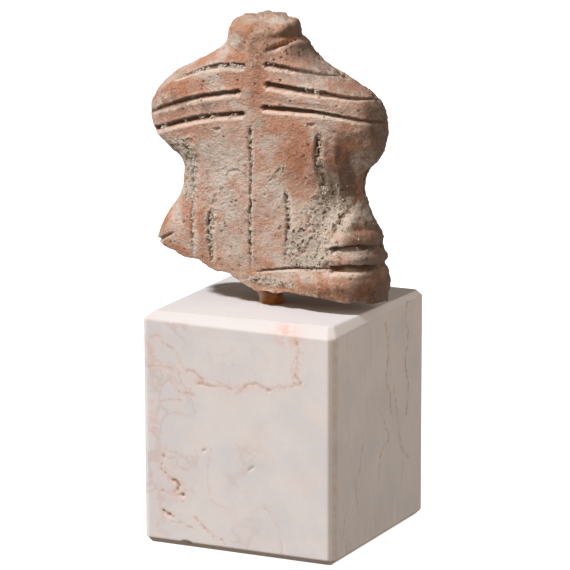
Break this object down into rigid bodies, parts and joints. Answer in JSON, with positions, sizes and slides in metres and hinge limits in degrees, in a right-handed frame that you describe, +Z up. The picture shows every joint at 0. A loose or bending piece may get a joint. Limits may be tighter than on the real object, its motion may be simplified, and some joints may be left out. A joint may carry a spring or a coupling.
{
  "type": "broken terracotta figurine torso on a stone mounting block",
  "caption": "Broken terracotta torso with arm stubs and incised lines, stuck upright on a bevelled limestone block.",
  "frame": {"origin": "centre of the plinth's underside", "axes": "+Z up, the torso's incised front faces -Y, +X to the right seen from the front"},
  "size_m": [0.0617, 0.052, 0.124],
  "materials": {
    "terracotta": "matte, weathered, with pale sediment",
    "amber_adhesive": "glossy, aged amber",
    "limestone": "honed, with fine reddish veins and small pits"
  },
  "bodies": {
    "root": {"torso": "terracotta", "glue_bead": "amber_adhesive", "plinth": "limestone"}
  },
  "joints": []
}
